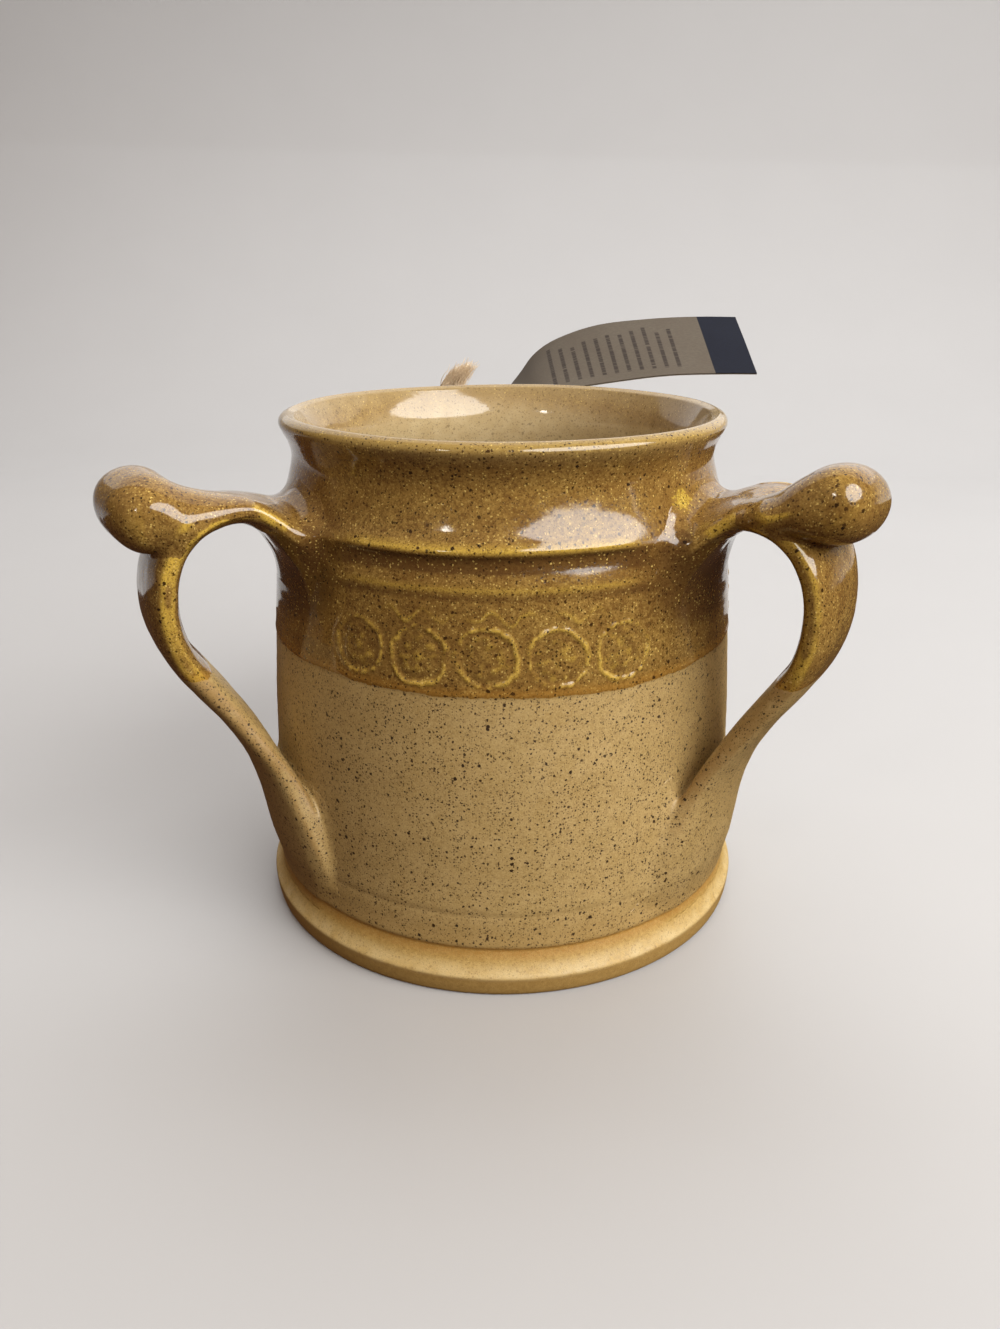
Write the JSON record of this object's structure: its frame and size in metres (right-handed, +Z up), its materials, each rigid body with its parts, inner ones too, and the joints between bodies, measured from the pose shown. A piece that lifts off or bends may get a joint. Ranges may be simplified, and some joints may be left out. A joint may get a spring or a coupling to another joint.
{
  "type": "loving cup",
  "caption": "Thrown stoneware loving cup with pulled strap handles and rolled thumb rests spaced evenly round it, amber glaze over a speckled body, and a card tag tied on with twine.",
  "frame": {"origin": "on the cup's axis, at the table the foot stands on", "axes": "+Z up along the cup's axis; -Y is the front, between the two front handles; the rear handle is on +Y"},
  "size_m": [0.1611, 0.1507, 0.1361],
  "materials": {
    "stoneware_body": "amber gloss glaze dipped over a pale speckled satin body, bare foot",
    "stoneware_handle": "amber gloss glaze with dark specks",
    "card": "uncoated card",
    "twine": "laid jute"
  },
  "bodies": {
    "cup": {"cup_body": "stoneware_body", "front_left_handle": "stoneware_handle", "front_right_handle": "stoneware_handle", "rear_handle": "stoneware_handle", "front_left_thumb_rest": "stoneware_handle", "front_right_thumb_rest": "stoneware_handle", "rear_thumb_rest": "stoneware_handle"},
    "tag": {"tag_card": "card", "twine_loop": "twine", "twine_knot": "twine", "twine_ends": "twine"}
  },
  "joints": [
    {"name": "tag_swing", "type": "hinge", "parent": "cup", "child": "tag", "pos_m": [0, 0.064, 0.1014], "axis": [0, -1, 0], "range_deg": [-60, 60]}
  ]
}
